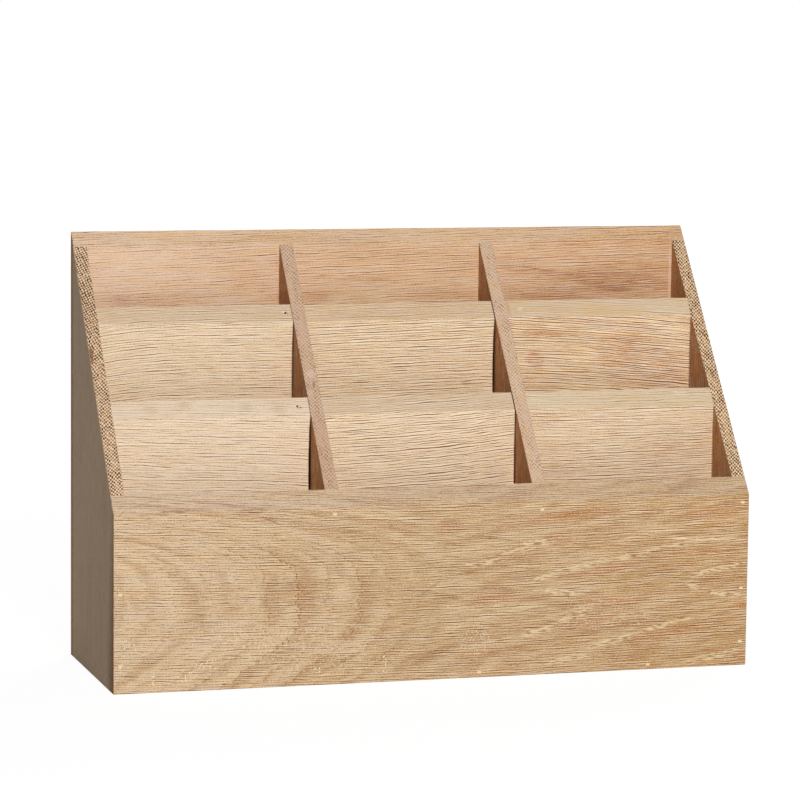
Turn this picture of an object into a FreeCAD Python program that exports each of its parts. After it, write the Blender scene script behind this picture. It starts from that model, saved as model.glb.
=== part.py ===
"""Desk sorter for envelopes: nine open compartments in three stepped rows.

Thirteen solid oak boards are butted together, glued and pinned with brads.
The front and back panels run over the ends of the sides and dividers, the
bottom panel lies under the sides, and the upper edges of all the boards are
sanded to one slope from the low front to the high back.

Millimetres.  +X to the right, +Y to the back, +Z up.  The origin is on the
resting surface, below the middle of the box.
"""
import FreeCAD, Part
import math
import os

Vec = FreeCAD.Vector
X_AXIS = Vec(1, 0, 0)
Y_AXIS = Vec(0, 1, 0)
Z_AXIS = Vec(0, 0, 1)

# ------------------------------------------------------------------ sizes
# The whole box
width = 380.0
depth = 121.0
back_height = 251.2      # of the sharp corner, before its arris is eased
front_height = 101.5
outer_arris = 0.35       # outside edges, eased by sanding
mouth_arris = 0.3        # edges round the mouths of the compartments

# Boards
front_thickness = 8.0
back_thickness = 7.0
bottom_thickness = 9.0
side_thickness = 8.0
divider_thickness = 8.0
cross_thickness = 8.0

# Compartments
front_row_slot = 31.0    # clear depth of the lowest row
middle_row_slot = 32.5   # the rear row has the depth that is left
# Room at the right-hand end of the cross boards, by column
cross_end_gap = {"left": 0.3, "centre": 0.7, "right": 0.0}

# Brads: flat wire with a small oblong head and a chisel point
brad_length = 25.0
toe_brad_length = 20.0
brad_wide = 1.2
brad_thick = 1.0
brad_head_long = 1.9
brad_head_deep = 0.8
brad_point = 2.0
# Holes that the driver leaves over a head that is sunk below the face
hole_long = 2.2
hole_wide = 1.6
sunk = 1.2
toe_sunk = 2.2

# Brad places in the front panel
front_left_heights = (16.0, 56.5)
front_right_heights = (14.0, 46.0)
front_top_drops = {"divider_left": 3.5, "divider_right": 4.9, "side_panel_right": 4.6}
front_bottom_places = (25.0, 128.5)     # to the right of the middle

# Brad places in the back panel
back_brads = 3                          # in each side panel and divider
back_lowest = 24.0
back_cover = 8.0                        # wood over the tip of the highest one
back_bottom_places = (-95.0, 95.0)      # from the middle
bottom_edge_height = 3.0                # into the bottom, from both panels

# Brad places under the bottom panel, in each side panel and divider
under_brads = 2
under_inset = 24.0                      # from the front and back panels

# Brads through the dividers into the ends of the centre cross boards
end_brads = 2
end_lowest = 34.0
end_top_drop = 20.0                     # highest one, below the board's top

# Slanted brads in the tops of the outer cross boards, from the divider's face
toe_places = (
    {"row": "rear", "column": "left", "inset": 4.4, "filled": False},
    {"row": "front", "column": "left", "inset": 6.8, "filled": False},
    {"row": "rear", "column": "right", "inset": 8.6, "filled": True},
)

# --------------------------------------------------------- derived places
columns = ("left", "centre", "right")
left = -width / 2
right = width / 2
front = -depth / 2
back = depth / 2
inner_front = front + front_thickness
inner_back = back - back_thickness
slope = (back_height - front_height) / depth
board_room = 2 * side_thickness + (len(columns) - 1) * divider_thickness
column_width = (width - board_room) / len(columns)
column_pitch = column_width + divider_thickness
column_left = {name: left + side_thickness + i * column_pitch for i, name in enumerate(columns)}
divider_left_x = column_left["centre"] - divider_thickness
divider_right_x = column_left["right"] - divider_thickness
front_cross_y = inner_front + front_row_slot
rear_cross_y = front_cross_y + cross_thickness + middle_row_slot
cross_y = {"front": front_cross_y, "rear": rear_cross_y}

# Left face and thickness of every upright that runs from front to back
uprights = {
    "side_panel_left": (left, side_thickness),
    "divider_left": (divider_left_x, divider_thickness),
    "divider_right": (divider_right_x, divider_thickness),
    "side_panel_right": (right - side_thickness, side_thickness),
}


def top_at(y):
    """Height of the sanded slope at the depth y."""
    return front_height + slope * (y - front)


def upright_middle(name):
    """Middle of the thickness of a side panel or divider."""
    x, thickness = uprights[name]
    return x + thickness / 2


def spread(lowest, highest, count):
    """Evenly spaced places with the first and last as given."""
    step = (highest - lowest) / (count - 1)
    return [lowest + i * step for i in range(count)]


# ---------------------------------------------------------------- outline
def sanded_outline():
    """The whole outer form: a four-sided profile with eased arrises."""
    corners = [
        Vec(left, front, 0),
        Vec(left, front, front_height),
        Vec(left, back, back_height),
        Vec(left, back, 0),
    ]
    profile = Part.Face(Part.makePolygon(corners + corners[:1]))
    form = profile.extrude(X_AXIS * width)
    return form.makeChamfer(outer_arris, form.Edges)


def mouth_ring(x0, x1, y0, y1, grow):
    """Rectangle over a compartment, grown all round and raised as much."""
    corners = []
    for x, y in ((x0, y0), (x1, y0), (x1, y1), (x0, y1)):
        x_out = x + grow * (1 if x == x1 else -1)
        y_out = y + grow * (1 if y == y1 else -1)
        corners.append(Vec(x_out, y_out, top_at(y_out) + grow - mouth_arris))
    return Part.makePolygon(corners + corners[:1])


def compartment_mouths():
    """Flared blocks that chamfer the edges round each compartment's mouth."""
    rows = (
        (inner_front, front_cross_y),
        (front_cross_y + cross_thickness, rear_cross_y),
        (rear_cross_y + cross_thickness, inner_back),
    )
    mouths = []
    for x0 in column_left.values():
        for y0, y1 in rows:
            low = mouth_ring(x0, x0 + column_width, y0, y1, 0)
            high = mouth_ring(x0, x0 + column_width, y0, y1, 2 * mouth_arris)
            mouths.append(Part.makeLoft([low, high], True, True))
    return mouths


# ----------------------------------------------------------------- boards
def sawn(x0, x1, y0, y1, z0, z1):
    """A board sawn square."""
    return Part.makeBox(x1 - x0, y1 - y0, z1 - z0, Vec(x0, y0, z0))


def sawn_boards():
    """Every board by name, still square at the top."""
    floor = bottom_thickness
    top = back_height
    boards = {
        "front_panel": sawn(left, right, front, inner_front, 0, top),
        "back_panel": sawn(left, right, inner_back, back, 0, top),
        "bottom_panel": sawn(left, right, inner_front, inner_back, 0, floor),
    }
    for name, (x, thickness) in uprights.items():
        boards[name] = sawn(x, x + thickness, inner_front, inner_back, floor, top)
    for row, y in cross_y.items():
        for column in columns:
            x0 = column_left[column]
            x1 = x0 + column_width - cross_end_gap[column]
            name = "cross_board_" + row + "_" + column
            boards[name] = sawn(x0, x1, y, y + cross_thickness, floor, top)
    return boards


# ------------------------------------------------------------------ brads
def brad_wire(length, depth_below):
    """One brad on its own axis: driven along -Z from a hole's mouth at z = 0."""
    head_top = -depth_below
    head_base = head_top - brad_head_deep
    tip = head_top - length
    half_side = [
        (brad_head_long / 2, head_top),
        (brad_head_long / 2, head_base),
        (brad_wide / 2, head_base),
        (brad_wide / 2, tip + brad_point),
        (brad_wide / 8, tip),
    ]
    other_side = [(-x, z) for x, z in reversed(half_side)]
    corners = [Vec(x, -brad_thick / 2, z) for x, z in half_side + other_side]
    profile = Part.Face(Part.makePolygon(corners + corners[:1]))
    return profile.extrude(Y_AXIS * brad_thick)


def driver_hole(depth_below, above):
    """The hole over a sunk head, from the head up past the face."""
    corner = Vec(-hole_long / 2, -hole_wide / 2, -depth_below)
    return Part.makeBox(hole_long, hole_wide, depth_below + above, corner)


class Brad:
    """A brad at its place, with the hole over it and the filler in that."""

    def __init__(self, mouth, drive, long_side, length=brad_length, below=0.0,
                 above=0.0, filled=False):
        turn = FreeCAD.Rotation(long_side, Vec(), drive * -1, "ZXY")
        self.place = FreeCAD.Placement(mouth, turn)
        self.wire = self.put(brad_wire(length, below))
        self.hole = self.put(driver_hole(below, above)) if below else None
        self.filled = filled

    def put(self, shape):
        """Move a shape from the brad's own axis to its place."""
        shape.Placement = self.place
        return shape

    def cutters(self):
        """What the brad and its hole take out of the boards."""
        return [self.wire] + ([self.hole] if self.hole else [])


def front_panel_brads():
    """Filled brads through the front panel."""
    places = [(upright_middle("side_panel_left"), z) for z in front_left_heights]
    places += [(upright_middle("side_panel_right"), z) for z in front_right_heights]
    for name, drop in front_top_drops.items():
        places.append((upright_middle(name), front_height - drop))
    places += [(x, bottom_edge_height) for x in front_bottom_places]
    return [Brad(Vec(x, front, z), Y_AXIS, X_AXIS, below=sunk, filled=True) for x, z in places]


def back_panel_brads():
    """Filled brads through the back panel."""
    highest = top_at(back - sunk - brad_length) - back_cover
    heights = spread(back_lowest, highest, back_brads)
    places = [(upright_middle(name), z) for name in uprights for z in heights]
    places += [(x, bottom_edge_height) for x in back_bottom_places]
    return [Brad(Vec(x, back, z), Y_AXIS * -1, X_AXIS, below=sunk, filled=True) for x, z in places]


def bottom_panel_brads():
    """Brads up through the bottom panel, with their heads flush."""
    depths = spread(inner_front + under_inset, inner_back - under_inset, under_brads)
    places = [(upright_middle(name), y) for name in uprights for y in depths]
    return [Brad(Vec(x, y, 0), Z_AXIS, Y_AXIS) for x, y in places]


def centre_board_brads():
    """Brads through the dividers into the ends of the centre cross boards."""
    brads = []
    for y in cross_y.values():
        middle_y = y + cross_thickness / 2
        heights = spread(end_lowest, top_at(y) - end_top_drop, end_brads)
        for z in heights:
            outer_face = divider_right_x + divider_thickness
            brads.append(Brad(Vec(divider_left_x, middle_y, z), X_AXIS, Z_AXIS))
            brads.append(Brad(Vec(outer_face, middle_y, z), X_AXIS * -1, Z_AXIS))
    return brads


def toe_brads():
    """Slanted brads from the tops of outer cross boards into the dividers."""
    brads = []
    for toe in toe_places:
        to_right = toe["column"] == "left"
        face = divider_left_x if to_right else divider_right_x + divider_thickness
        way = 1 if to_right else -1
        middle_y = cross_y[toe["row"]] + cross_thickness / 2
        run = toe["inset"] + divider_thickness / 2
        fall = math.sqrt(toe_brad_length ** 2 - run ** 2)
        drive = Vec(way * run, 0, -fall).normalize()
        mouth = Vec(face - way * toe["inset"], middle_y, top_at(middle_y))
        side = Vec(fall, 0, way * run).normalize()
        brads.append(Brad(mouth, drive, side, length=toe_brad_length, below=toe_sunk,
                          above=2 * hole_wide, filled=toe["filled"]))
    return brads


# --------------------------------------------------------------- assembly
def touching(tools, board):
    """The tools whose boxes meet the board's box."""
    return [tool for tool in tools if tool.BoundBox.intersect(board.BoundBox)]


def build():
    """Every node's shape by name."""
    outline = sanded_outline()
    brads = {
        "brads_front_panel": front_panel_brads(),
        "brads_back_panel": back_panel_brads(),
        "brads_bottom_panel": bottom_panel_brads(),
        "brads_centre_cross_boards": centre_board_brads(),
        "toe_brads_outer_cross_boards": toe_brads(),
    }
    tools = compartment_mouths()
    for group in brads.values():
        for brad in group:
            tools += brad.cutters()

    nodes = {}
    for name, board in sawn_boards().items():
        sanded = board.common(outline)
        nodes[name] = sanded.cut(touching(tools, sanded))
    for name, group in brads.items():
        nodes[name] = Part.makeCompound([brad.wire for brad in group])
        plugs = [brad.hole.common(outline) for brad in group if brad.filled]
        if plugs:
            nodes["filler_over_" + name] = Part.makeCompound(plugs)
    return nodes


os.makedirs("parts", exist_ok=True)
for node, shape in build().items():
    shape.exportStep("parts/" + node + ".step")
    print(node, "solids", len(shape.Solids), "valid", shape.isValid(), "volume", round(shape.Volume, 1))
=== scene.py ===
"""Looks of the oak envelope sorter: thirteen boards, brads and filler.

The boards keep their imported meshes.  Each gets its own oak, worked out in the
board's own millimetres: swaying lines along the grain, the front board's
arched figure, rows of pores in end grain, slow changes of tone, and marks.
"""
import math
from dataclasses import dataclass

import bpy
from mathutils import Matrix, Vector


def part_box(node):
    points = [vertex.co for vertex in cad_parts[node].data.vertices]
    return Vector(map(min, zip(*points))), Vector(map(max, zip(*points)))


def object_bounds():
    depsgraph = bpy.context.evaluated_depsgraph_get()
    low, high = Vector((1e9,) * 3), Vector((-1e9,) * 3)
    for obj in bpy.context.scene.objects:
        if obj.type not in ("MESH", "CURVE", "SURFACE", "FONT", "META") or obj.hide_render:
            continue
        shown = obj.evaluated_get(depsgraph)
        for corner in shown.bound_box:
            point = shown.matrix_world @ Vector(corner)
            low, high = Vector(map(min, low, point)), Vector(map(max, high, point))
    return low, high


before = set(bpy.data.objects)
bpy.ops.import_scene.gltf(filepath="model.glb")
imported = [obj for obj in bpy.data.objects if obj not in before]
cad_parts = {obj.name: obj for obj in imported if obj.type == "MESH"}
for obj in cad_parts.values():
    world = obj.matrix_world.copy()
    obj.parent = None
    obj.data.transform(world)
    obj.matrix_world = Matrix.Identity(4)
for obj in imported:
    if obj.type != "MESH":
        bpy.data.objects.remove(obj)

cad_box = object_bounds()
MM = 0.001


# ----------------------------------------------------------- shader maths
class Field:
    """A shader value that varies over a surface, used in plain expressions."""

    def __init__(self, finish, socket):
        self.finish = finish
        self.socket = socket

    def math(self, operation, *others, clamp=False):
        """A Math node with this value first."""
        settings = {"operation": operation, "use_clamp": clamp}
        inputs = dict(enumerate((self, *others)))
        return self.finish.node("ShaderNodeMath", settings, inputs)

    def __add__(self, other):
        return self.math("ADD", other)

    __radd__ = __add__

    def __sub__(self, other):
        return self.math("SUBTRACT", other)

    def __rsub__(self, other):
        return -self + other

    def __mul__(self, other):
        return self.math("MULTIPLY", other)

    __rmul__ = __mul__

    def __truediv__(self, other):
        return self.math("DIVIDE", other)

    def __neg__(self):
        return self * -1.0

    def __abs__(self):
        return self.math("ABSOLUTE")

    def root(self):
        """Square root."""
        return self.math("SQRT")

    def fraction(self):
        """What is left after the whole number."""
        return self.math("FRACT")

    def whole(self):
        """The whole number at or below."""
        return self.math("FLOOR")

    def at_least(self, other):
        """The larger of the two."""
        return self.math("MAXIMUM", other)

    def held(self):
        """Kept from 0 to 1."""
        return self.math("ADD", 0.0, clamp=True)

    def between(self, low, high):
        """From low where this is 0 to high where it is 1."""
        return self * (high - low) + low

    def rise(self, low, high):
        """0 below low and 1 above high, with a smooth step between."""
        settings = {"interpolation_type": "SMOOTHSTEP"}
        inputs = {"Value": self, "From Min": low, "From Max": high}
        return self.finish.node("ShaderNodeMapRange", settings, inputs)

    def fall(self, low, high):
        """1 below low and 0 above high, with a smooth step between."""
        return 1.0 - self.rise(low, high)


SHEEN = 0.06                        # specular level of bare wood and filler
COLOR_A = 6                         # sockets of the Mix node that take colours
COLOR_B = 7
COLOR_MIXED = 2                     # and the one that gives a colour


class Finish:
    """The nodes of a material or of the world, wired up in Python."""

    def __init__(self, owner):
        self.owner = owner
        owner.use_nodes = True
        self.tree = owner.node_tree
        self.tree.nodes.clear()

    def node(self, kind, settings=None, inputs=None, output=0):
        """Add a node: its settings first, then the values or links of its sockets."""
        made = self.tree.nodes.new(kind)
        for name, value in (settings or {}).items():
            setattr(made, name, value)
        for key, value in (inputs or {}).items():
            if isinstance(value, Field):
                self.tree.links.new(value.socket, made.inputs[key])
            else:
                made.inputs[key].default_value = value
        return Field(self, made.outputs[output])

    def vector(self, x, y, z):
        """Three values as one vector."""
        return self.node("ShaderNodeCombineXYZ", inputs={0: x, 1: y, 2: z})

    def noise(self, x, y, z, detail, roughness=0.5):
        """Smooth noise about 0, mostly within half a unit."""
        inputs = {"Vector": self.vector(x, y, z), "Scale": 1.0, "Detail": detail, "Roughness": roughness}
        return self.node("ShaderNodeTexNoise", inputs=inputs) - 0.5

    def cells(self, x, y, z):
        """Distance to the nearest of scattered points."""
        inputs = {"Vector": self.vector(x, y, z), "Scale": 1.0}
        return self.node("ShaderNodeTexVoronoi", inputs=inputs)

    def chance(self, value):
        """A random number that is the same wherever the value is."""
        return self.node("ShaderNodeTexWhiteNoise", {"noise_dimensions": "1D"}, {"W": value})

    def mix(self, share, one, other, blend="MIX"):
        """Colours mixed, the other by its share."""
        settings = {"data_type": "RGBA", "blend_type": blend}
        inputs = {0: share, COLOR_A: one, COLOR_B: other}
        return self.node("ShaderNodeMix", settings, inputs, COLOR_MIXED)

    def split(self, vector):
        """The three values of a vector."""
        return [self.node("ShaderNodeSeparateXYZ", inputs={0: vector}, output=i) for i in range(3)]

    def surface(self, color, roughness, height, depth):
        """A principled surface, with a bump of the given depth in metres."""
        bump = {"Height": height, "Distance": depth, "Strength": 1.0}
        inputs = {
            "Base Color": color,
            "Roughness": roughness,
            "Specular IOR Level": SHEEN,
            "Normal": self.node("ShaderNodeBump", inputs=bump),
        }
        self.send(self.node("ShaderNodeBsdfPrincipled", inputs=inputs))
        return self.owner

    def send(self, shader, output="ShaderNodeOutputMaterial"):
        """Send a shader to the output."""
        out = self.tree.nodes.new(output)
        self.tree.links.new(shader.socket, out.inputs["Surface"])


def srgb(red, green, blue):
    """A colour as a painter would read it off a screen, made linear."""
    def linear(value):
        value = value / 255
        return value / 12.92 if value <= 0.04045 else ((value + 0.055) / 1.055) ** 2.4
    return (linear(red), linear(green), linear(blue), 1.0)


# ------------------------------------------------------------------- oak
@dataclass
class Mark:
    """A streak, blotch, knot, fleck, painted shadow or painted shade, from one place on a board to another.

    Places are millimetres from the board's lowest corner: along and up its front
    face, or, on an upright board, across and through its upper end.
    """

    start: tuple
    end: tuple
    width: float
    color: tuple
    strength: float = 0.6
    broken: float = 0.0             # share of it that is broken into dashes
    specks: bool = False            # or into specks
    soft: float = 0.45              # share of the mark that fades out
    over: bool = False              # it covers the lines, like dirt or filler, and isn't just a tone


@dataclass
class Rows:
    """Rows of pores in end grain, as turns of phase per millimetre."""

    across: float                   # over the board's width
    deep: float                     # through its thickness
    turn: float = 0.0               # how the rows turn along the width
    gather: float = 0.0             # how they draw together


@dataclass
class Oak:
    """How one board was cut and how it looks, in millimetres from its lowest corner."""

    seed: float
    tones: tuple                    # sRGB at the start, the middle and the end of the board
    end_tone: tuple                 # sRGB of its end grain
    right_tone: tuple = None        # sRGB of its right face, if it differs: lighter where its tones are painted shade
    bevel_tones: tuple = None       # sRGB of its sloped upper edge, if it differs
    grain: str = "along"            # or "upright", or "flat" for a board that lies down
    dark: tuple = (136, 90, 54)     # sRGB of its dark lines
    pale: tuple = (254, 242, 220)   # and of its pale ones
    slope: float = 0.0              # rise of the grain per millimetre along
    slant: float = 0.35             # how the grain leans through the thickness
    arch: float = 0.0               # rise that grows with the square of the way from the middle
    fan: float = 0.0                # how far the grain climbs on its way out of the left end
    bend: float = 1.0               # slow swings of the grain
    wave: float = 0.45              # quick ones
    lines: float = 0.6              # strength of the lines along the grain
    gain: float = 0.0               # how much stronger the lines get towards the end of the board
    shine: float = 1.15             # strength of the pale lines beside the dark ones
    strokes: tuple = ((2.1, 16.0), (1.5, 10.0))   # spacing and unbroken length of lines, in two sets
    planed: float = 0.35            # how much smoother its sloped upper edge is
    fine: float = 0.4               # strength of the fibres between the lines
    grit: float = 0.85              # strength of the finest roughness
    dashes: float = 0.4             # strength of the pore dashes
    patches: float = 0.2            # strength of slow changes of tone
    blush: float = 3.6              # strength of reddish and greyish patches
    lattice: float = 0.3            # strength of the rows of pores in the end grain
    rows: tuple = (Rows(0.6, 0.5), Rows(0.6, -0.5))
    figure: bool = False            # the front board's arched figure
    dusk: float = 0.0               # how strongly painted shade darkens its outer left face towards the front
    marks: tuple = ()


@dataclass
class Noise:
    """The size of a noise along the grain and across it, in millimetres, and its detail."""

    long: float
    wide: float
    detail: float = 1.0
    roughness: float = 0.5


# Colours of marks, sRGB
CREAM = (234, 210, 170)
WHITE = (250, 240, 218)
SHELL = (228, 202, 172)
RED = (188, 130, 88)
OLIVE = (166, 134, 88)
BROWN = (138, 92, 54)
ASH = (184, 174, 146)
# painted shadow in the gaps at the cross boards' right ends
GAP_SHADOW = (34, 18, 10)
WARM_GAP_SHADOW = (110, 60, 30)
# painted shade in the open holes of the toe brads
BRAD_HOLE_SHADE = (44, 20, 10)

# Colours of the wood itself, and of the painted shade on the outer left face near the front
PORE = srgb(74, 44, 20)
ARCH_BROWN = srgb(168, 120, 78)
ARCH_PALE = srgb(228, 204, 168)
# painted shade on the outer left face towards the front, darker still right at the front edge, where it is
# partly the front board's end grain
FRONT_SHADE_COLOR = srgb(122, 68, 24)
FRONT_EDGE_SHADE_COLOR = srgb(84, 50, 26)
REDDER = (1.01, 0.95, 0.84, 1.0)
GREYER = (0.98, 1.02, 1.16, 1.0)

# What varies in a board
SWING = Noise(110, 40)
QUICK = Noise(24, 8, 2.0)
BROAD = Noise(70, 10, 2.0)
BLUSH = Noise(36, 4.5, 3.0, 0.6)
UNEVEN = Noise(60, 4, 2.0)
FIBRE = Noise(12, 0.5, 1.0, 0.6)
GRIT = Noise(0.9, 0.5, 0.0)
DASH = Noise(11, 0.62)
HYPHEN = Noise(6, 0.62)
SPECK = Noise(0.9, 2.1)
PORE_DASH = Noise(7, 1.3)
PORE_PATCH = Noise(30, 5, 2.0)
BAY = Noise(14, 5, 3.0, 0.6)
CLIMBING = Noise(50, 6, 3.0, 0.6)
SEED_STEP = 37.0                    # keeps the boards' noises apart

# Where a noise shows: not at all, fully
VIGOUR_ON = (-0.2, 0.3)
UNWORN_ON = (-0.12, 0.1)
DASH_ON = (0.01, 0.06)
HYPHEN_ON = (-0.06, 0.03)
PORE_PATCH_ON = (-0.3, 0.1)
PATCHY_ON = (-0.15, 0.2)

# Where it ends: still fully there, gone
HYPHEN_GAP_OFF = (-0.11, -0.02)
SPECK_OFF = (0.2, 0.36)
PORE_DASH_OFF = (0.14, 0.3)

# How squarely a surface has to face a way to count as that face: not at all, fully
FACING = (0.5, 0.9)
BEVEL_FACING = (0.4, 0.6)
END_FACING = (0.3, 0.65)
FRONT_FACING = (0.1, 0.4)

# Lines along the grain, in millimetres where nothing else is said
DARK_LINE = (0.06, 0.36)            # from its middle: a dark line starts to fade, and ends
PALE_LINE = (0.06, 0.28)            # the same for a pale one
PALE_AWAY = 0.54                    # from a dark line's middle to the pale ones beside it
LINE_SWAY = 0.9                     # as a share of the lines' spacing
SWAY_LONG = 1.3                     # as a share of a line's unbroken length
VIGOUR_LONG = 2.2                   # how far a line stays strong or weak, likewise
VIGOUR = (0.45, 1.35)               # strength of weak lines and of strong ones
WORN = (0.35, 1.0)                  # what is left of a line where it is worn, and elsewhere
WORN_DETAIL = 3.0
WORN_ROUGHNESS = 0.6
UNEVEN_PUSH = 1.6                   # how far the lines are pushed together and apart
FAN_REACH = 25.0                    # from the left end, over which the fan dies out
FIRST_LINE = 50.0                   # keeps the lines' numbers above 0
SECOND_SET = 0.7                    # strength of the second set of lines
SET_STEP = 11.0                     # keeps the two sets' noises apart

# The front board's figure: arches at the left give way to climbing swaths at the right
ARCH_MIDDLE = 50.0                  # height of the arches' blunt tips
ARCH_ABOVE = 0.00094                # how they fall back above it, with the cube of the height
ARCH_BELOW = 0.019                  # and below it, with the square
ARCH_WIDE = 18.0                    # width of one arch
ARCH_SWING = 14.0                   # how far the arches sway
ARCH_BAY = 10.0                     # depth of the bays in their edges
ARCH_END = (150.0, 220.0)           # along the board, the arches fade
EDGE_END = (150.0, 200.0)           # and their dark edges
FIBRE_ROW = 1.25                    # rows of fibres, each with a shift of its own
FIBRE_SHIFT = 4.0
CLIMB = 0.2                         # rise of the swaths at the right, per millimetre
ARCH_VIGOUR = (0.2, 1.0)            # of the faintest arch and of the strongest
EDGE_START = (0.0, 0.01)            # of an arch's dark edge, as shares of the arch
EDGE_STOP = (0.025, 0.06)
EDGE_STRENGTH = 0.9
ARCHED_FINE = 1.3                   # how much the swaths change from arch to arch
ARCHED_WIDE = 40                    # and up the board, in millimetres
ARCHED_DETAIL = 2.0
ARCHED_ROUGHNESS = 0.6
ARCH_LEAN = 0.2                     # how much browner an arch is at its edge than at its far side
ARCH_BODY = (0.1, 0.95)
SWATH_CONTRAST = 7.0
SWATH_BROWN = 0.42                  # the most that brown swaths cover
SWATH_PALE = 0.4                    # and pale ones

# End grain, with sizes across a board, through it and along it
DRIFT_SIZE = (16, 9, 90)
JOLT_SIZE = (1.6, 1.6, 4)
PATCHY_SIZE = (5, 3, 20)
ROW_DRIFT = 1.6                     # how far rows of pores drift, in turns of phase
ROW_JOLT = 1.1                      # and how far single pores stray
ROW_CORE = (0.1, 1.0)               # height of a wave that draws a row
DOT_CORE = (0.1, 1.5)               # height of two waves that make a dot
GAP_CORE = (-1.5, 0.0)              # and of the pale gap between dots
HATCH = 0.22                        # strength of the rows beside the dots
GAP_STRENGTH = 0.5
PATCHY = (0.25, 1.05)               # strength of the dots where they are sparse, and elsewhere

# Tones, painted shade near the front of the outer left face, and how lines and roughness change them
TONE_SWING = 0.25                   # how far the tones sway, as a share of the board's length
FRONT_SHADE_REACH = 22.0                   # how far the painted shade on the outer left face reaches back from the front edge
FRONT_SHADE_LEAN = 0.12                    # and how much less it does higher up, per millimetre
# width and strength of the darkest painted shade, right at the front edge, partly the front board's end
# grain
FRONT_EDGE_SHADE_WIDE = 2.4
FRONT_EDGE_SHADE_STRENGTH = 0.75
BROAD_DARK = 1.6                    # how much slow changes darken the wood
BROAD_PALE = 0.9                    # and whiten it
GRIT_GAIN = 1.2
FIBRE_FULL = 0.22                   # height of the fibre noise at which a fibre is fully dark or pale
END_SMOOTH = 0.8                    # how much weaker all this is on end grain
DARKEST = 0.95                      # the most that dark lines cover
PALEST = 0.85                       # and pale ones
HYPHEN_BROWN = 0.65                 # the most that brown covers between hyphens
FRAYED_BY_FIBRE = 1.2               # how much the marks' edges follow the fibres
FRAYED_BY_GRAIN = 1.6               # and the quick swings of the grain
LEAST_FRAYED = 0.2
ROUGHNESS = (0.65, 0.8)             # of pale wood and of dark lines
PORE_RELIEF = 0.2                   # how deep pores in end grain are, beside dark lines
RELIEF = 0.04 * MM


def blend_along(wood, share, tones):
    """Three tones, one after another along the board."""
    start, middle, end = (srgb(*tone) for tone in tones)
    color = wood.mix(share.rise(0.0, 0.5), start, middle)
    return wood.mix(share.rise(0.5, 1.0), color, end)


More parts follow.
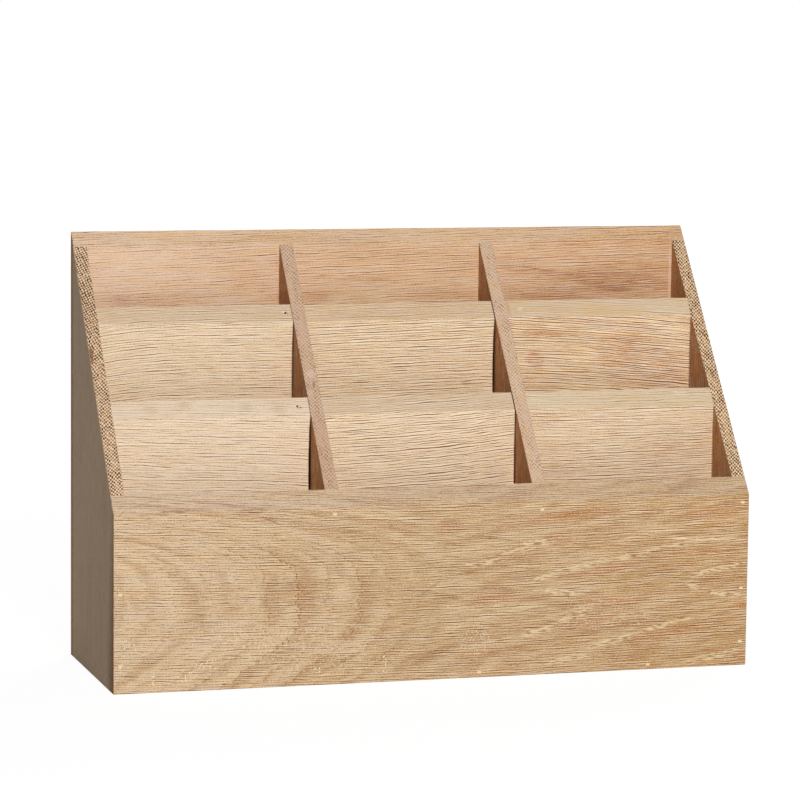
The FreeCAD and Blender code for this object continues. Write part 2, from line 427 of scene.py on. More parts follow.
class Plank:
    """The wood of one board, with places in it in millimetres from the board's lowest corner."""

    def __init__(self, name, board):
        self.board = board
        self.seed = board.seed * SEED_STEP
        self.wood = Finish(bpy.data.materials.new("oak_" + name))
        self.low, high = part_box(name)
        place = self.wood.split(self.wood.node("ShaderNodeTexCoord", output="Object"))
        self.place = [(value - start) / MM for value, start in zip(place, self.low)]
        x, y, z = self.place
        turned = {"along": (x, z, y), "upright": (z, y, x), "flat": (x, y, z)}
        self.along, self.across, self.deep = turned[board.grain]
        self.upright = board.grain == "upright"
        size = (high - self.low) / MM
        self.length = size.z if self.upright else size.x

        # Which way the surface faces: the sloped upper edge, end grain
        self.facing = self.wood.split(self.wood.node("ShaderNodeTexCoord", output="Normal"))
        self.bevel = abs(self.facing[1]).rise(*BEVEL_FACING) * self.facing[2].rise(*BEVEL_FACING)
        self.end = abs(self.facing[2 if self.upright else 0]).rise(*END_FACING)

        # How the grain runs
        self.swing = self.drawn_out(SWING, self.across, self.seed)
        self.quick = self.drawn_out(QUICK, self.across, self.seed)
        self.flow = self.grain_flow()
        self.fibre = self.drawn_out(FIBRE, self.flow, self.seed)
        if board.figure:
            self.arch_edges, self.swath = self.arched_figure()

        # Where marks are laid, and what frays them and breaks them up
        if self.upright:
            self.spot = self.wood.vector(self.across, self.deep, 0.0)
            self.shown = self.end
        else:
            self.spot = self.wood.vector(self.along, self.across, 0.0)
            self.shown = (-self.facing[1]).rise(*FRONT_FACING)
        frayed = self.fibre * FRAYED_BY_FIBRE + self.quick * FRAYED_BY_GRAIN + 1.0
        self.frayed = frayed.at_least(LEAST_FRAYED)
        self.dashes = self.drawn_out(DASH, self.flow, -self.seed).rise(*DASH_ON)
        self.hyphens = self.drawn_out(HYPHEN, self.flow, self.seed)
        self.specks = self.wood.cells(*self.spread(SPECK, self.across, self.seed)).fall(*SPECK_OFF)

    def spread(self, noise, across, seed):
        """A place, counted along the grain and across it in a noise's own sizes."""
        return self.along / noise.long + seed, across / noise.wide, self.deep / noise.wide

    def drawn_out(self, noise, across, seed):
        """A noise that is drawn out along the grain."""
        return self.wood.noise(*self.spread(noise, across, seed), noise.detail, noise.roughness)

    def grain_flow(self):
        """How far across the board a place lies, counted by the grain."""
        board = self.board
        way = self.along - self.length / 2
        flow = self.across + self.deep * board.slant - way * board.slope - way * way * board.arch
        if board.fan:
            flow = flow + (self.along * (-1.0 / FAN_REACH)).math("EXPONENT") * board.fan
        # Doubled, because a noise reaches half a unit to each side
        return flow + self.swing * (2 * board.bend) + self.quick * (2 * board.wave)

    def strokes(self, flow, seed, spacing, breaks):
        """Dark and pale lines along the grain that sway, fade and start again."""
        # The odd factors give each line a noise of its own
        noise = self.wood.noise
        number = flow / spacing + FIRST_LINE
        line = number.whole()
        sway = noise(self.along / (breaks * SWAY_LONG) + line * 9.1, line * 3.7 - seed, 0.0, 1.0)
        part = (number.fraction() - 0.5 + sway * LINE_SWAY) * spacing
        vigour = noise(self.along / (breaks * VIGOUR_LONG) + line * 4.3, line * 8.9 + seed, 0.0, 1.0)
        worn = noise(self.along / breaks + line * 17.7, line * 5.3 + seed, 0.0, WORN_DETAIL, WORN_ROUGHNESS)
        strength = vigour.rise(*VIGOUR_ON).between(*VIGOUR) * worn.rise(*UNWORN_ON).between(*WORN)
        dark = abs(part).fall(*DARK_LINE) * strength
        pale = abs(abs(part) - PALE_AWAY).fall(*PALE_LINE) * strength
        return dark, pale

    def lines(self):
        """How dark and how pale the two sets of lines make a place."""
        uneven = self.wood.noise(
            self.along / UNEVEN.long - self.seed, self.flow / UNEVEN.wide, 0.0, UNEVEN.detail)
        flow = self.flow + uneven * UNEVEN_PUSH
        first = self.strokes(flow, self.seed, *self.board.strokes[0])
        second = self.strokes(flow, self.seed + SET_STEP, *self.board.strokes[1])
        return first[0] + second[0] * SECOND_SET, first[1] + second[1] * SECOND_SET

    def arched_figure(self):
        """Dark edges of the front board's arches, and swaths that are brown above 0 and pale below."""
        wood = self.wood
        along = self.along
        across = self.across
        seed = self.seed
        shift = (wood.chance((self.flow / FIBRE_ROW).whole() + seed) - 0.5) * FIBRE_SHIFT
        bay = wood.noise(along / BAY.long, across / BAY.wide + seed, self.deep, BAY.detail, BAY.roughness)
        above = (across - ARCH_MIDDLE).at_least(0.0)
        below = (ARCH_MIDDLE - across).at_least(0.0)
        tip = along + shift + bay * ARCH_BAY
        tip = tip + above * above * above * ARCH_ABOVE + below * below * ARCH_BELOW
        arch = (tip + self.swing * ARCH_SWING) / ARCH_WIDE
        part = arch.fraction()
        vigour = wood.chance(arch.whole() + seed).between(*ARCH_VIGOUR) * along.fall(*EDGE_END)
        edges = part.rise(*EDGE_START) * part.fall(*EDGE_STOP) * vigour * EDGE_STRENGTH
        arched = wood.noise(
            arch * ARCHED_FINE + seed, across / ARCHED_WIDE, 0.0, ARCHED_DETAIL, ARCHED_ROUGHNESS)
        arched = arched + (0.5 - part.rise(*ARCH_BODY)) * vigour * ARCH_LEAN
        climbing = wood.noise(
            along / CLIMBING.long - seed, (across - along * CLIMB) / CLIMBING.wide, 0.0,
            CLIMBING.detail, CLIMBING.roughness)
        return edges, arched * along.fall(*ARCH_END) + climbing * along.rise(*ARCH_END)

    def end_noise(self, size, seed, detail):
        """A noise over the end grain."""
        across = self.across / size[0] + seed
        return self.wood.noise(across, self.deep / size[1], self.along / size[2], detail)

    def pore_rows(self):
        """Dark dots where two sets of rows cross in end grain, and the pale gaps between them."""
        across = self.across
        deep = self.deep
        drift = self.end_noise(DRIFT_SIZE, self.seed, 1.0)
        jolt = self.end_noise(JOLT_SIZE, -self.seed, 1.0) * ROW_JOLT
        waves = []
        for rows in self.board.rows:
            phase = across * rows.across + deep * rows.deep + across * deep * rows.turn
            phase = phase + across * across * rows.gather + drift * ROW_DRIFT + jolt
            waves.append((phase * (2 * math.pi)).math("COSINE"))
        both = waves[0] + waves[1]
        hatch = waves[0].rise(*ROW_CORE) + waves[1].rise(*ROW_CORE)
        patchy = self.end_noise(PATCHY_SIZE, self.seed, 2.0).rise(*PATCHY_ON)
        dots = (both.rise(*DOT_CORE) + hatch * HATCH) * patchy.between(*PATCHY)
        return dots, both.fall(*GAP_CORE) * GAP_STRENGTH

    def tones(self):
        """The colour of the wood between its lines."""
        board = self.board
        wood = self.wood
        share = (self.along / self.length + self.swing * TONE_SWING).held()
        color = blend_along(wood, share, board.tones)
        if board.bevel_tones:
            color = wood.mix(self.bevel, color, blend_along(wood, share, board.bevel_tones))
        if board.figure:
            color = wood.mix((self.swath * SWATH_CONTRAST).held() * SWATH_BROWN, color, ARCH_BROWN)
            color = wood.mix((self.swath * -SWATH_CONTRAST).held() * SWATH_PALE, color, ARCH_PALE)
        # right faces get a lighter tone where the board's tones are painted shade
        if board.right_tone:
            color = wood.mix(self.facing[0].rise(*FACING), color, srgb(*board.right_tone))
        color = wood.mix(self.end, color, srgb(*board.end_tone))
        blush = self.drawn_out(BLUSH, self.flow, -self.seed) * board.blush
        color = wood.mix(blush.held(), color, REDDER, "MULTIPLY")
        return wood.mix((-blush).held(), color, GREYER, "MULTIPLY")

    def shades(self):
        """How much lines, pores, fibres and roughness darken the wood, and how much they whiten it."""
        board = self.board
        noise = self.wood.noise
        seed = self.seed
        dark, pale = self.lines()
        if board.figure:
            dark = dark + self.arch_edges
        weight = self.along * (board.gain / self.length) + board.lines
        face = (1.0 - self.end * END_SMOOTH) * (1.0 - self.bevel * board.planed)
        broad = self.drawn_out(BROAD, self.across, -seed)
        grit = noise(
            self.along / GRIT.long, self.across / GRIT.wide, self.deep / GRIT.wide + seed, GRIT.detail)
        pores = self.wood.cells(*self.spread(PORE_DASH, self.across, seed)).fall(*PORE_DASH_OFF)
        patch = noise(
            self.along / PORE_PATCH.long, self.across / PORE_PATCH.wide + seed,
            self.deep / PORE_PATCH.wide, PORE_PATCH.detail)
        pores = pores * patch.rise(*PORE_PATCH_ON)
        darker = (broad * -BROAD_DARK * board.patches).held()
        darker = darker + self.fibre.fall(-FIBRE_FULL, 0.0) * board.fine
        darker = darker + (grit * -GRIT_GAIN * board.grit).held() + dark * weight + pores * board.dashes
        paler = (broad * BROAD_PALE * board.patches).held()
        paler = paler + self.fibre.rise(0.0, FIBRE_FULL) * board.fine
        paler = paler + (grit * GRIT_GAIN * board.grit).held() + pale * weight * board.shine
        return darker * face, paler * face

    def marked(self, color, over):
        """The colour with the marks laid on it that the lines run over, or those that cover the lines."""
        wood = self.wood
        for mark in self.board.marks:
            if mark.over != over:
                continue
            length = mark.end[0] - mark.start[0]
            climb = mark.end[1] - mark.start[1]
            shape = {
                "Vector": self.spot,
                "Location": (mark.start[0] + length / 2, mark.start[1] + climb / 2, 0.0),
                "Rotation": (0.0, 0.0, math.atan2(climb, length)),
                "Scale": (math.hypot(length, climb) / 2, mark.width / 2, 1.0),
            }
            inside = wood.node("ShaderNodeMapping", {"vector_type": "TEXTURE"}, shape)
            ball = {"gradient_type": "SPHERICAL"}
            depth = wood.node("ShaderNodeTexGradient", ball, {"Vector": inside}, "Fac")
            share = (depth * self.frayed).rise(0.0, mark.soft) * self.shown * mark.strength
            if mark.specks:
                share = share * self.specks
            elif mark.broken == 1.0:
                between = share * self.hyphens.fall(*HYPHEN_GAP_OFF) * HYPHEN_BROWN
                color = wood.mix(between, color, srgb(*BROWN))
                share = share * self.hyphens.rise(*HYPHEN_ON)
            elif mark.broken:
                share = share * self.dashes.between(1.0 - mark.broken, 1.0)
            color = wood.mix(share, color, srgb(*mark.color))
        return color

    def dusky(self, color):
        """The colour with painted shade on the outer left face towards the sorter's front edge, darkest
        right at the edge, where it partly stands for the front board's darker end grain.
        """
        _, y, z = self.place
        left = (-self.facing[0]).rise(*FACING)
        front = y + (self.low.y - cad_box[0][1]) / MM
        dusk = left * (front + z * FRONT_SHADE_LEAN).fall(0.0, FRONT_SHADE_REACH) * self.board.dusk
        color = self.wood.mix(dusk, color, FRONT_SHADE_COLOR)
        return self.wood.mix(left * front.fall(0.0, FRONT_EDGE_SHADE_WIDE) * FRONT_EDGE_SHADE_STRENGTH, color, FRONT_EDGE_SHADE_COLOR)

    def material(self):
        """The board's finished material."""
        board = self.board
        wood = self.wood
        darker, paler = self.shades()
        dots, gaps = self.pore_rows()
        pores = dots * self.end * board.lattice
        paler = paler + gaps * self.end * board.lattice
        net = darker - paler
        color = self.marked(self.tones(), over=False)
        color = wood.mix(net.held() * DARKEST, color, srgb(*board.dark))
        color = wood.mix((-net).held() * PALEST, color, srgb(*board.pale))
        color = wood.mix(pores.held(), color, PORE)
        # painted shade on the outer left face near the front
        if board.dusk:
            color = self.dusky(color)
        color = self.marked(color, over=True)
        height = paler - darker - pores * PORE_RELIEF
        return wood.surface(color, darker.held().between(*ROUGHNESS), height, RELIEF)


# ------------------------------------------------------- marks and boards
def streak(start, end, width):
    """A cream streak in hyphens, with brown between them."""
    return Mark(start, end, width, CREAM, 0.76, 1.0, soft=0.4, over=True)


def flecks(start, end, width, strength):
    """White flecks scattered over a place."""
    return Mark(start, end, width, WHITE, strength, specks=True, over=True)


def pale_patch(start, end, width, strength, broken):
    """A soft pale patch."""
    return Mark(start, end, width, SHELL, strength, broken, soft=0.7)


def painted_gap_shadow(start, end, width, color, strength):
    """Painted shadow: the dark line of the gap where a cross board's end meets the board beside it."""
    return Mark(start, end, width, color, strength, soft=0.2, over=True)


FRONT_MARKS = (
    # Upper oval and the reddish wood round it
    Mark((232, 92), (305, 94), 7, RED, 0.59, 0.3),
    Mark((186, 88), (208, 88), 10, RED, 0.52, 0.3),
    Mark((254, 78), (272, 78), 9, RED, 0.52, 0.3),
    Mark((330, 88), (390, 92), 24, (206, 144, 94), 0.28, 0.3, soft=0.9),
    Mark((203, 83.5), (241, 78.5), 2.6, BROWN, 0.5),
    Mark((207, 64), (240, 76), 2.4, BROWN, 0.5),
    Mark((177, 48), (192, 58), 2.6, BROWN, 0.4),
    Mark((172, 9), (206, 22), 5, (150, 102, 64), 0.5, 0.3),
    streak((238, 77), (262, 78), 4.6),
    streak((220, 71), (250, 75), 4.1),
    streak((200, 65), (234, 69), 4.1),
    Mark((190, 74), (236, 74), 9, (214, 184, 142), 0.4, 0.5),
    # Long streak that climbs to the right, olive above it and red below
    Mark((226, 54), (290, 68), 6, OLIVE, 0.5, 0.4),
    Mark((258, 55), (325, 65), 6, RED, 0.65, 0.3),
    streak((243, 54), (266, 61.5), 4.2),
    streak((258, 60), (298, 66.5), 4.2),
    streak((292, 65), (323, 71), 3.6),
    streak((314, 70.5), (356, 75.5), 3.2),
    Mark((246, 56), (270, 52), 5, (216, 186, 144), 0.5, 0.5),
    Mark((314, 81.5), (345, 82), 1.6, CREAM, 0.9, 0.3),
    Mark((320, 78), (384, 74.5), 3.5, CREAM, 0.9, 0.6),
    Mark((326, 68), (386, 71), 3.5, RED, 0.75, 0.3),
    # Arrow at the right
    Mark((345, 52.5), (390, 52), 9, (176, 124, 72), 0.5, 0.5),
    streak((338, 53), (384, 62.5), 4.6),
    streak((340, 51), (353, 45), 4.1),
    streak((350, 45.5), (386, 39.5), 4.1),
    Mark((331, 52), (341, 52.3), 2.4, ASH, 0.6, 0.4),
    Mark((359, 43), (367, 42.5), 1.8, ASH, 0.5),
    Mark((368, 36), (386, 37), 5, RED, 0.65, 0.3),
    # Dashes and red wood at mid height
    Mark((206, 46.5), (242, 45), 7, RED, 0.65, 0.3),
    streak((244, 50.5), (280, 45.5), 4.6),
    Mark((248, 47.5), (284, 43.5), 2.4, BROWN, 0.7, 0.8),
    Mark((268, 41.5), (324, 40.5), 5.5, RED, 0.75, 0.3),
    streak((236, 22), (263, 28.5), 4.8),
    streak((257, 28.5), (287, 38.5), 4.8),
    Mark((260, 24.5), (304, 34), 6, RED, 0.72, 0.3),
    Mark((222, 33), (262, 37), 9, OLIVE, 0.4, 0.5),
    # Lower streaks
    streak((278, 13.5), (316, 22.5), 4.1),
    streak((308, 21.5), (352, 31.5), 4.1),
    Mark((296, 15), (384, 30), 5, RED, 0.59, 0.3),
    streak((254, 5.5), (284, 11), 4.6),
    streak((332, 1.5), (386, 10.5), 4.8),
    Mark((356, 4.5), (388, 8), 3.5, RED, 0.75, 0.3),
    Mark((160, 5), (196, 19), 9, (160, 114, 70), 0.5, 0.6),
    Mark((196, 12), (236, 17), 8, RED, 0.39, 0.3),
    # Blotches in the middle
    Mark((212, 53), (238, 50), 7, (150, 98, 58), 0.5, 0.4),
    Mark((178, 52), (206, 46), 5, (160, 110, 68), 0.5, 0.4),
    Mark((240, 47), (278, 39), 6, (158, 108, 66), 0.5, 0.5),
    Mark((216, 41), (256, 39), 8, (224, 200, 162), 0.55, 0.3),
    Mark((112, 3), (148, 20.5), 3.4, (158, 102, 60), 0.6, 0.3),
    pale_patch((112, 20), (152, 21), 12, 0.5, 0.3),
    Mark((80, 98), (152, 71), 6, SHELL, 0.45, 0.3),
    Mark((190, 94), (204, 84), 9, (160, 112, 74), 0.4, 0.4),
    Mark((128, 78), (134, 58), 8, (170, 124, 82), 0.35, 0.3),
    Mark((98, 60), (114, 56), 6, (166, 120, 78), 0.4, 0.4),
    # Pale patches and brown tips in the left half
    pale_patch((98, 65), (110, 65), 10, 0.5, 0.3),
    pale_patch((124, 52), (141, 52), 13, 0.55, 0.3),
    pale_patch((116, 38), (131, 37.5), 12, 0.5, 0.3),
    pale_patch((146, 41), (163, 41), 8, 0.5, 0.3),
    pale_patch((69, 53), (82, 53), 8, 0.45, 0.3),
    pale_patch((186, 41), (214, 41), 9, 0.5, 0.4),
    pale_patch((190, 30), (207, 30), 7, 0.6, 0.4),
    pale_patch((99, 45), (109, 45), 8, 0.35, 0.3),
    pale_patch((126, 21), (146, 21), 7, 0.35, 0.3),
    Mark((68, 100.5), (90, 101.5), 4.5, BROWN, 0.75, 0.6),
    Mark((20, 101), (45, 102.5), 3, BROWN, 0.6, 0.6),
    Mark((84, 98.5), (98, 92), 1.2, BROWN, 0.6, 0.2, over=True),
    Mark((130, 78), (160, 76), 5, BROWN, 0.35, 0.8),
    Mark((126, 89), (148, 88), 3, BROWN, 0.4, 0.8),
    # White flecks, most of them low on the left
    flecks((3, 27), (17, 27), 14, 0.9),
    flecks((1, 15), (12, 15), 8, 0.8),
    flecks((21, 7), (24.5, 7), 12, 0.8),
    flecks((34, 7.5), (49, 10), 8, 0.9),
    flecks((44, 14), (64, 15), 9, 0.8),
    flecks((116, 9.5), (121, 9.5), 9, 0.9),
    flecks((155.5, 10), (160.5, 10), 15, 0.95),
    flecks((200, 20), (226, 24), 26, 0.55),
    flecks((30, 30), (180, 14), 36, 0.35),
    flecks((250, 36), (330, 30), 30, 0.3),
    # Sloped upper edge
    Mark((0, 99), (9, 105), 1.2, BROWN, 0.25, over=True),
    Mark((7, 104), (34, 110.5), 1.2, BROWN, 0.2, 0.2, over=True),
    Mark((262, 105.5), (386, 102.5), 1.6, (142, 108, 74), 0.4, 0.6),
    Mark((100, 107), (300, 108), 5, (206, 184, 158), 0.4, 0.4),
)
BACK_MARKS = (
    Mark((90, 226), (115, 223), 15, (212, 156, 116), 0.4, 0.4),
    Mark((10, 210), (90, 212), 9, (206, 154, 120), 0.4, 0.5),
    Mark((44, 224), (78, 226), 2.5, (238, 208, 184), 0.6, 0.7),
    Mark((86, 205), (118, 213), 4, CREAM, 0.4, 0.9),
    Mark((130, 208), (158, 214), 11, (196, 140, 98), 0.45, 0.6),
    Mark((150, 222), (200, 220), 6, (190, 134, 94), 0.4, 0.7),
    Mark((160, 212), (200, 210), 5, CREAM, 0.6, 0.9),
    Mark((232, 221), (252, 216), 9, CREAM, 0.5, 0.9),
    Mark((200, 214), (246, 210), 8, (186, 128, 86), 0.4, 0.7),
    Mark((256, 228), (306, 223), 6, (160, 98, 60), 0.6, 0.7),
    Mark((290, 222), (378, 216), 12, (166, 104, 66), 0.7, 0.5),
    Mark((318, 215), (352, 213), 6, (138, 84, 50), 0.85, 0.5),
    Mark((262, 210), (330, 206), 7, (180, 118, 78), 0.7, 0.5),
    Mark((330, 234), (376, 232), 3, (160, 98, 60), 0.5, 0.7),
    Mark((370, 220), (372, 220), 60, (232, 202, 178), 0.5, over=True),
)
# Each cross board gets painted shadow in the gap at its right end.
REAR_LEFT_MARKS = (
    # painted shade in the toe brad's hole
    Mark((111.4, 194.9), (112.8, 196.5), 1.1, BRAD_HOLE_SHADE, 1.0, soft=0.3, over=True),
    painted_gap_shadow((114.8, 162), (117.2, 162), 68, GAP_SHADOW, 0.85),
)
REAR_CENTRE_MARKS = (
    Mark((94, 152.5), (102, 152.5), 3.6, BROWN, 0.7, 0.5),
    Mark((20, 154), (48, 153), 1.6, BROWN, 0.4, 0.6),
    painted_gap_shadow((114.2, 162), (117.8, 162), 68, GAP_SHADOW, 1.0),
)
REAR_RIGHT_MARKS = (
    Mark((48, 172), (122, 150), 44, (196, 128, 72), 0.7, 0.4),
    Mark((28, 189), (112, 181), 5.5, (180, 114, 64), 0.75, 0.5),
    Mark((7, 181), (24, 181), 7.5, (200, 138, 88), 0.95, 0.1),
    Mark((19, 182), (38, 180.5), 5.5, (202, 142, 94), 0.8, 0.3),
    Mark((10, 166), (24.5, 165.5), 13, (198, 136, 88), 0.95, 0.1),
    Mark((40, 190), (62, 188), 3.5, (196, 144, 100), 0.6),
    Mark((90, 166), (102, 171), 2.2, (232, 206, 174), 0.6, 0.3),
    Mark((100, 170), (107, 177), 2.0, (232, 206, 174), 0.6, 0.3),
    # painted shade at the board's left end beside the divider, reddened by light bounced off it
    Mark((-2, 160), (4, 160), 100, (198, 150, 122), 0.6),
    painted_gap_shadow((115.2, 162), (116.8, 162), 68, GAP_SHADOW, 0.6),
)
FRONT_LEFT_MARKS = (
    # painted shade in the toe brad's hole
    Mark((108.4, 145.0), (109.6, 146.2), 1.1, BRAD_HOLE_SHADE, 1.0, soft=0.3, over=True),
    Mark((16, 146), (29, 146), 8, (206, 180, 142), 0.5, soft=0.9),
    Mark((36, 147), (49, 147), 7, (204, 180, 138), 0.5, soft=0.9),
    Mark((73, 146), (84, 146), 10, (204, 180, 142), 0.5, soft=0.9),
    Mark((90, 146), (105, 146), 11, (202, 176, 138), 0.5, soft=0.9),
    Mark((50, 140), (130, 133), 14, (240, 218, 190), 0.45, 0.4),
    painted_gap_shadow((114.4, 112), (117.6, 112), 66, GAP_SHADOW, 1.0),
)
FRONT_CENTRE_MARKS = (
    Mark((95, 104), (112, 103), 7, BROWN, 0.4, 0.7),
    painted_gap_shadow((115.0, 112), (117.0, 112), 66, WARM_GAP_SHADOW, 0.9),
    Mark((10, 122), (100, 116), 22, (170, 124, 84), 0.3, 0.9),
)
FRONT_RIGHT_MARKS = (
    Mark((56, 112), (124, 107), 34, (188, 128, 78), 0.4, 0.8),
    Mark((90, 148), (103, 147.5), 3.6, (240, 220, 192), 0.7),
    Mark((8, 139), (20, 139), 3, (180, 130, 90), 0.4, 0.5),
    painted_gap_shadow((115.2, 112), (116.8, 112), 66, WARM_GAP_SHADOW, 0.7),
)
LEFT_SLOPE_MARKS = (
    Mark((56, 4), (104, 4), 18, (156, 110, 66), 0.5, soft=0.9),
    Mark((54, 0.8), (63, 1.2), 3.6, (128, 80, 54), 0.75, over=True),
    Mark((83, 5), (99, 5), 8, (104, 72, 38), 0.5, specks=True, soft=0.9),
)
RIGHT_SLOPE_MARKS = (
    Mark((0, 2), (15, 6), 4, (110, 76, 46), 0.4, 0.5, soft=0.9),
    Mark((43.5, 4), (46.5, 4.3), 2.4, (128, 84, 52), 0.6, over=True),
    Mark((74.5, 4), (77.5, 4), 2.2, (128, 84, 52), 0.5),
)
DIVIDER_LEFT_MARKS = (
    Mark((-14, 4), (42, 4), 18, (190, 144, 112), 0.35, soft=0.9),
    Mark((42, 4.6), (46, 5.4), 1.8, (132, 92, 66), 0.6, over=True),
    Mark((46.5, 4), (51, 4), 9, (228, 202, 182), 0.6),
)
DIVIDER_RIGHT_MARKS = (
    Mark((35, 4), (48, 4), 9, (228, 200, 170), 0.5),
)


# the dividers' right faces get a lighter tone, still partly painted shade
DIVIDER_CUT = {"right_tone": (206, 158, 114), "lines": 0.3, "lattice": 0.45, "blush": 4.5}
CROSS_END_TONE = (200, 168, 134)
CROSS_CUT = {
    "bend": 1.4, "strokes": ((1.95, 15.0), (1.4, 9.0)), "fine": 0.3, "dashes": 0.2,
    "dark": (138, 83, 8),
}


def upright_board(seed, tone, end_tone, **cut):
    """A side or a divider, of one tone."""
    return Oak(seed, (tone,) * 3, end_tone, grain="upright", **cut)


def cross_board(seed, tone, bevel_tone, **cut):
    """A cross board, with what the six share unless told otherwise."""
    return Oak(seed, (tone,) * 3, CROSS_END_TONE, bevel_tones=(bevel_tone,) * 3, **{**CROSS_CUT, **cut})


BOARDS = {
    "front_panel": Oak(
        1, ((218, 191, 157), (198, 167, 127), (190, 150, 100)), (220, 190, 158),
        bevel_tones=((223, 198, 171), (211, 181, 148), (209, 177, 140)), dark=(120, 70, 8),
        pale=(240, 220, 192), slope=-0.01, slant=0.5, arch=0.00008, lines=0.64, gain=0.2, shine=1.0,
        strokes=((1.6, 12.0), (1.15, 8.0)), planed=0.2, fine=0.3, grit=1.1, dashes=0.3, patches=0.3,
        lattice=0.7, figure=True, dusk=0.85, marks=FRONT_MARKS),
    "back_panel": Oak(
        2, ((229, 197, 168), (218, 180, 143), (209, 165, 124)), (190, 148, 108),
        bevel_tones=((235, 204, 171), (227, 192, 153), (228, 188, 145)), dark=(142, 76, 12),
        pale=(242, 218, 192), slope=0.03, lines=0.5, gain=0.2, strokes=((1.8, 15.0), (1.3, 10.0)),
        planed=0.0, fine=0.3, dashes=0.2, patches=0.6, blush=6.0, lattice=0.7, marks=BACK_MARKS),
    "bottom_panel": Oak(
        3, ((215, 184, 148), (210, 180, 142), (208, 176, 138)), (216, 186, 154),
        grain="flat", lattice=0.5, dusk=0.85),
    "side_panel_left": upright_board(
        4, (209, 180, 149), (216, 174, 133), lines=0.15, fine=0.2, grit=0.25, blush=1.5, lattice=1.8,
        rows=(Rows(0.67, 0.43, 0.0019, -0.0022), Rows(0.73, -0.57, 0.0028, 0.001)), dusk=0.85,
        marks=LEFT_SLOPE_MARKS),
    # its tone is painted shade on its inner left face deep in the compartments; right_tone is its outer
    # face
    "side_panel_right": upright_board(
        5, (184, 123, 70), (223, 181, 134), right_tone=(214, 180, 142), lines=0.3, lattice=1.8,
        rows=(Rows(0.46, 0.48), Rows(0.77, -0.48)), marks=RIGHT_SLOPE_MARKS),
    # the dividers' tones are painted shade: the dark brown their left faces show deep in the compartments
    "divider_left": upright_board(
        6, (186, 121, 72), (212, 178, 150), rows=(Rows(0.5, 0.44), Rows(0.76, -0.46)),
        marks=DIVIDER_LEFT_MARKS, **DIVIDER_CUT),
    "divider_right": upright_board(
        7, (183, 118, 68), (221, 188, 158), rows=(Rows(0.54, 0.42), Rows(0.72, -0.5)),
        marks=DIVIDER_RIGHT_MARKS, **DIVIDER_CUT),
    "cross_board_rear_left": cross_board(
        8, (228, 202, 168), (220, 192, 159), slope=-0.01, fan=5.0, lines=0.86, marks=REAR_LEFT_MARKS),
    "cross_board_rear_centre": cross_board(
        9, (224, 193, 154), (217, 186, 149), slope=0.02, lines=1.12, planed=0.45,
        marks=REAR_CENTRE_MARKS),
    "cross_board_rear_right": cross_board(
        10, (225, 186, 137), (225, 197, 160), dark=(138, 74, 2), slope=-0.08, arch=-0.0002, bend=1.6,
        lines=1.66, strokes=((2.5, 20.0), (1.7, 10.0)), planed=0.7, dashes=0.25, patches=0.9,
        blush=8.0, marks=REAR_RIGHT_MARKS),
    "cross_board_front_left": cross_board(
        11, (233, 208, 178), (234, 211, 185), slope=-0.045, lines=0.8, marks=FRONT_LEFT_MARKS),
    "cross_board_front_centre": cross_board(
        12, (231, 202, 166), (218, 191, 160), slope=0.06, arch=0.0003, wave=0.6, lines=1.3, planed=0.5,
        marks=FRONT_CENTRE_MARKS),
    "cross_board_front_right": cross_board(
        13, (224, 193, 156), (227, 202, 168), slope=0.015, fan=-2.0, lines=1.0, planed=0.5, patches=0.4,
        marks=FRONT_RIGHT_MARKS),
}


# ------------------------------------------------------ brads and filler
FINE_DETAIL = 3.0
WIRE_ROUGHNESS = 0.4
WIRE_UNEVEN = 0.3                   # how much the roughness varies
FILLER_ROUGHNESS = 0.7
FILLER_UNEVEN = 0.2
FILLER_GRAIN = 0.4 * MM
FILLER_RELIEF = 0.03 * MM


def brad_wire(name, dull, bright, metallic):
    """Drawn wire of one colour."""
    steel = Finish(bpy.data.materials.new(name))
    place = steel.node("ShaderNodeTexCoord", output="Object")
    x, y, z = steel.split(place)
    drawn = steel.noise(x / MM, y / MM, z / MM, FINE_DETAIL)
    color = steel.mix(drawn + 0.5, dull, bright)
    roughness = drawn * WIRE_UNEVEN + WIRE_ROUGHNESS
    inputs = {"Base Color": color, "Roughness": roughness, "Metallic": metallic}
    steel.send(steel.node("ShaderNodeBsdfPrincipled", inputs=inputs))
    return steel.owner


def filler():
    """Cream wood filler, sanded flush."""
    paste = Finish(bpy.data.materials.new("wood_filler"))
    place = paste.node("ShaderNodeTexCoord", output="Object")
    x, y, z = paste.split(place)
    grit = paste.noise(x / FILLER_GRAIN, y / FILLER_GRAIN, z / FILLER_GRAIN, FINE_DETAIL)
    color = paste.mix(grit + 0.5, srgb(222, 196, 150), srgb(244, 228, 196))
    return paste.surface(color, grit * FILLER_UNEVEN + FILLER_ROUGHNESS, grit, FILLER_RELIEF)


def dress():
    """Give every node its finish."""
    wire = brad_wire("brad_steel", (0.32, 0.31, 0.30, 1), (0.55, 0.55, 0.56, 1), 1.0)
    # dark brown and not metallic: painted shade on the toe brads sunk in their slanted holes
    brad_in_shade = brad_wire("brad_in_the_dark", srgb(48, 22, 12), srgb(74, 38, 22), 0.0)
    paste = filler()
    for name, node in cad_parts.items():
        if name in BOARDS:
            material = Plank(name, BOARDS[name]).material()
        elif name.startswith("filler"):
            material = paste
        elif name.startswith("toe"):
            material = brad_in_shade
        else:
            material = wire
        node.data.materials.clear()
        node.data.materials.append(material)


# ----------------------------------------------------------------- studio
FOCAL_PIXELS = 3540.6
FRAME_PIXELS = 800
SENSOR = 36.0
CAMERA_YAW = 0.2896                 # radians, the camera stands to the left
CAMERA_PITCH = 0.1196               # looking down
CAMERA_ROLL = 0.0109
CAMERA_AWAY = 2077.3 * MM
AIM = Vector((0, 0, 125.5)) * MM
AIM_RIGHT = 5.81 * MM               # the middle of the picture from the aim
AIM_UP = -28.84 * MM

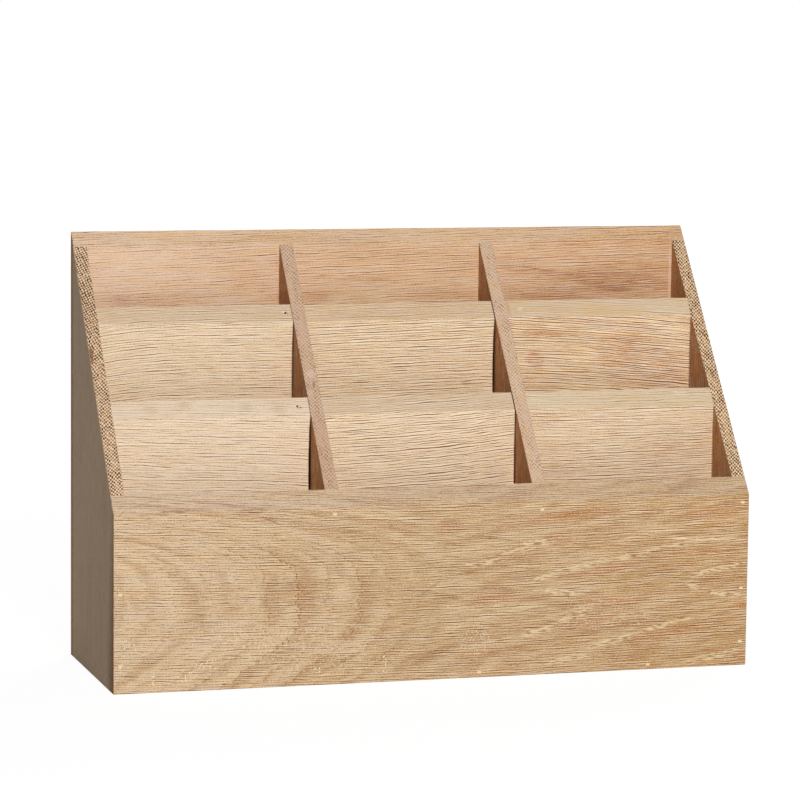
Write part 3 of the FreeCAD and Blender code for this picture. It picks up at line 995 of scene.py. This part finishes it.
FLOOR_SIDE = 4.0                    # from the middle to each edge
FLOOR_LIP = MM                      # how far the floor reaches under the sorter
FLOOR_PAPER = (0.8, 0.8, 0.8, 1)
FLOOR_GLOW = 1.06
FLOOR_GLOW_SHARE = 0.9              # beside the sorter, the rest takes light and shadow
FLOOR_FAR = (0.5, 1.4)              # over these distances it grows to 1

PURE_WHITE = (1, 1, 1, 1)
ROOM = (0.96, 0.98, 1.0, 1)
ROOM_LIGHT = 0.1
BODY_MIDDLE = (0, 0, 0.12)
LAMPS = {                           # place, aim, side of the square, watts, colour
    "key": ((-0.16, -2.05, 0.9), BODY_MIDDLE, 0.5, 37.0, (1.0, 0.98, 0.95)),
    "back_fill": ((1.3, 1.7, 1.0), BODY_MIDDLE, 1.2, 38.0, (1.0, 1.0, 1.0)),
    "under": ((-0.3, -0.5, -1.4), (0, 0, 0), 0.8, 14.0, (1.0, 1.0, 1.0)),
}


def camera():
    """The viewpoint."""
    yaw, pitch, roll = CAMERA_YAW, CAMERA_PITCH, CAMERA_ROLL
    forward = Vector((math.sin(yaw) * math.cos(pitch), math.cos(yaw) * math.cos(pitch), -math.sin(pitch)))
    level = Vector((math.cos(yaw), -math.sin(yaw), 0.0))
    upward = level.cross(forward)
    right = math.cos(roll) * level + math.sin(roll) * upward
    up = -math.sin(roll) * level + math.cos(roll) * upward
    eye = AIM - CAMERA_AWAY * forward - AIM_RIGHT * right - AIM_UP * up
    lens = bpy.data.cameras.new("camera")
    lens.sensor_width = SENSOR
    lens.lens = FOCAL_PIXELS / FRAME_PIXELS * SENSOR
    seat = bpy.data.objects.new("camera", lens)
    seat.matrix_world = Matrix.Translation(eye) @ Matrix((right, up, -forward)).transposed().to_4x4()
    bpy.context.scene.collection.objects.link(seat)
    bpy.context.scene.camera = seat


def seen_directly(finish):
    """1 for rays that show a surface as it is: seen, mirrored or through glass."""
    rays = [finish.node("ShaderNodeLightPath", output=name)
            for name in ("Is Camera Ray", "Is Glossy Ray", "Is Transmission Ray")]
    return (rays[0] + rays[1] + rays[2]).held()


def corners(right, back):
    """The corners of a rectangle on the floor round the middle."""
    return [(-right, -back, 0), (right, -back, 0), (right, back, 0), (-right, back, 0)]


def floor():
    """A pale floor that shows white and keeps a faint shadow, open where the sorter stands on it."""
    mesh = bpy.data.meshes.new("floor")
    high = cad_box[1]
    points = corners(FLOOR_SIDE, FLOOR_SIDE) + corners(high[0] - FLOOR_LIP, high[1] - FLOOR_LIP)
    mesh.from_pydata(points, [], [(0, 1, 5, 4), (1, 2, 6, 5), (2, 3, 7, 6), (3, 0, 4, 7)])
    ground = bpy.data.objects.new("floor", mesh)
    bpy.context.scene.collection.objects.link(ground)
    paper = Finish(bpy.data.materials.new("floor_paper"))
    matt = paper.node("ShaderNodeBsdfDiffuse", inputs={"Color": FLOOR_PAPER})
    glow = paper.node("ShaderNodeEmission", inputs={"Color": PURE_WHITE, "Strength": FLOOR_GLOW})
    x, y, _ = paper.split(paper.node("ShaderNodeTexCoord", output="Object"))
    far = (x * x + y * y).root().rise(*FLOOR_FAR)
    share = seen_directly(paper) * far.between(FLOOR_GLOW_SHARE, 1.0)
    paper.send(paper.node("ShaderNodeMixShader", inputs={0: share, 1: matt, 2: glow}))
    mesh.materials.append(paper.owner)


def softbox(name, place, aim, side, power, color):
    """A large soft lamp that points at a place."""
    lamp = bpy.data.lights.new(name, "AREA")
    lamp.shape = "RECTANGLE"
    lamp.size = side
    lamp.size_y = side
    lamp.energy = power
    lamp.color = color
    stand = bpy.data.objects.new(name, lamp)
    stand.location = place
    stand.rotation_euler = (Vector(aim) - Vector(place)).to_track_quat("-Z", "Y").to_euler()
    bpy.context.scene.collection.objects.link(stand)


def studio():
    """Pale room, key lamp in front and a little to the left, one behind at the right and one below."""
    world = bpy.data.worlds.new("studio")
    bpy.context.scene.world = world
    sky = Finish(world)
    room = sky.node("ShaderNodeBackground", inputs={"Color": ROOM, "Strength": ROOM_LIGHT})
    white = sky.node("ShaderNodeBackground", inputs={"Color": PURE_WHITE, "Strength": 1.0})
    sky.send(sky.node("ShaderNodeMixShader", inputs={0: seen_directly(sky), 1: room, 2: white}),
             "ShaderNodeOutputWorld")
    for name, lamp in LAMPS.items():
        softbox(name, *lamp)
    bpy.context.scene.view_settings.view_transform = "Standard"


camera()
dress()
floor()
studio()
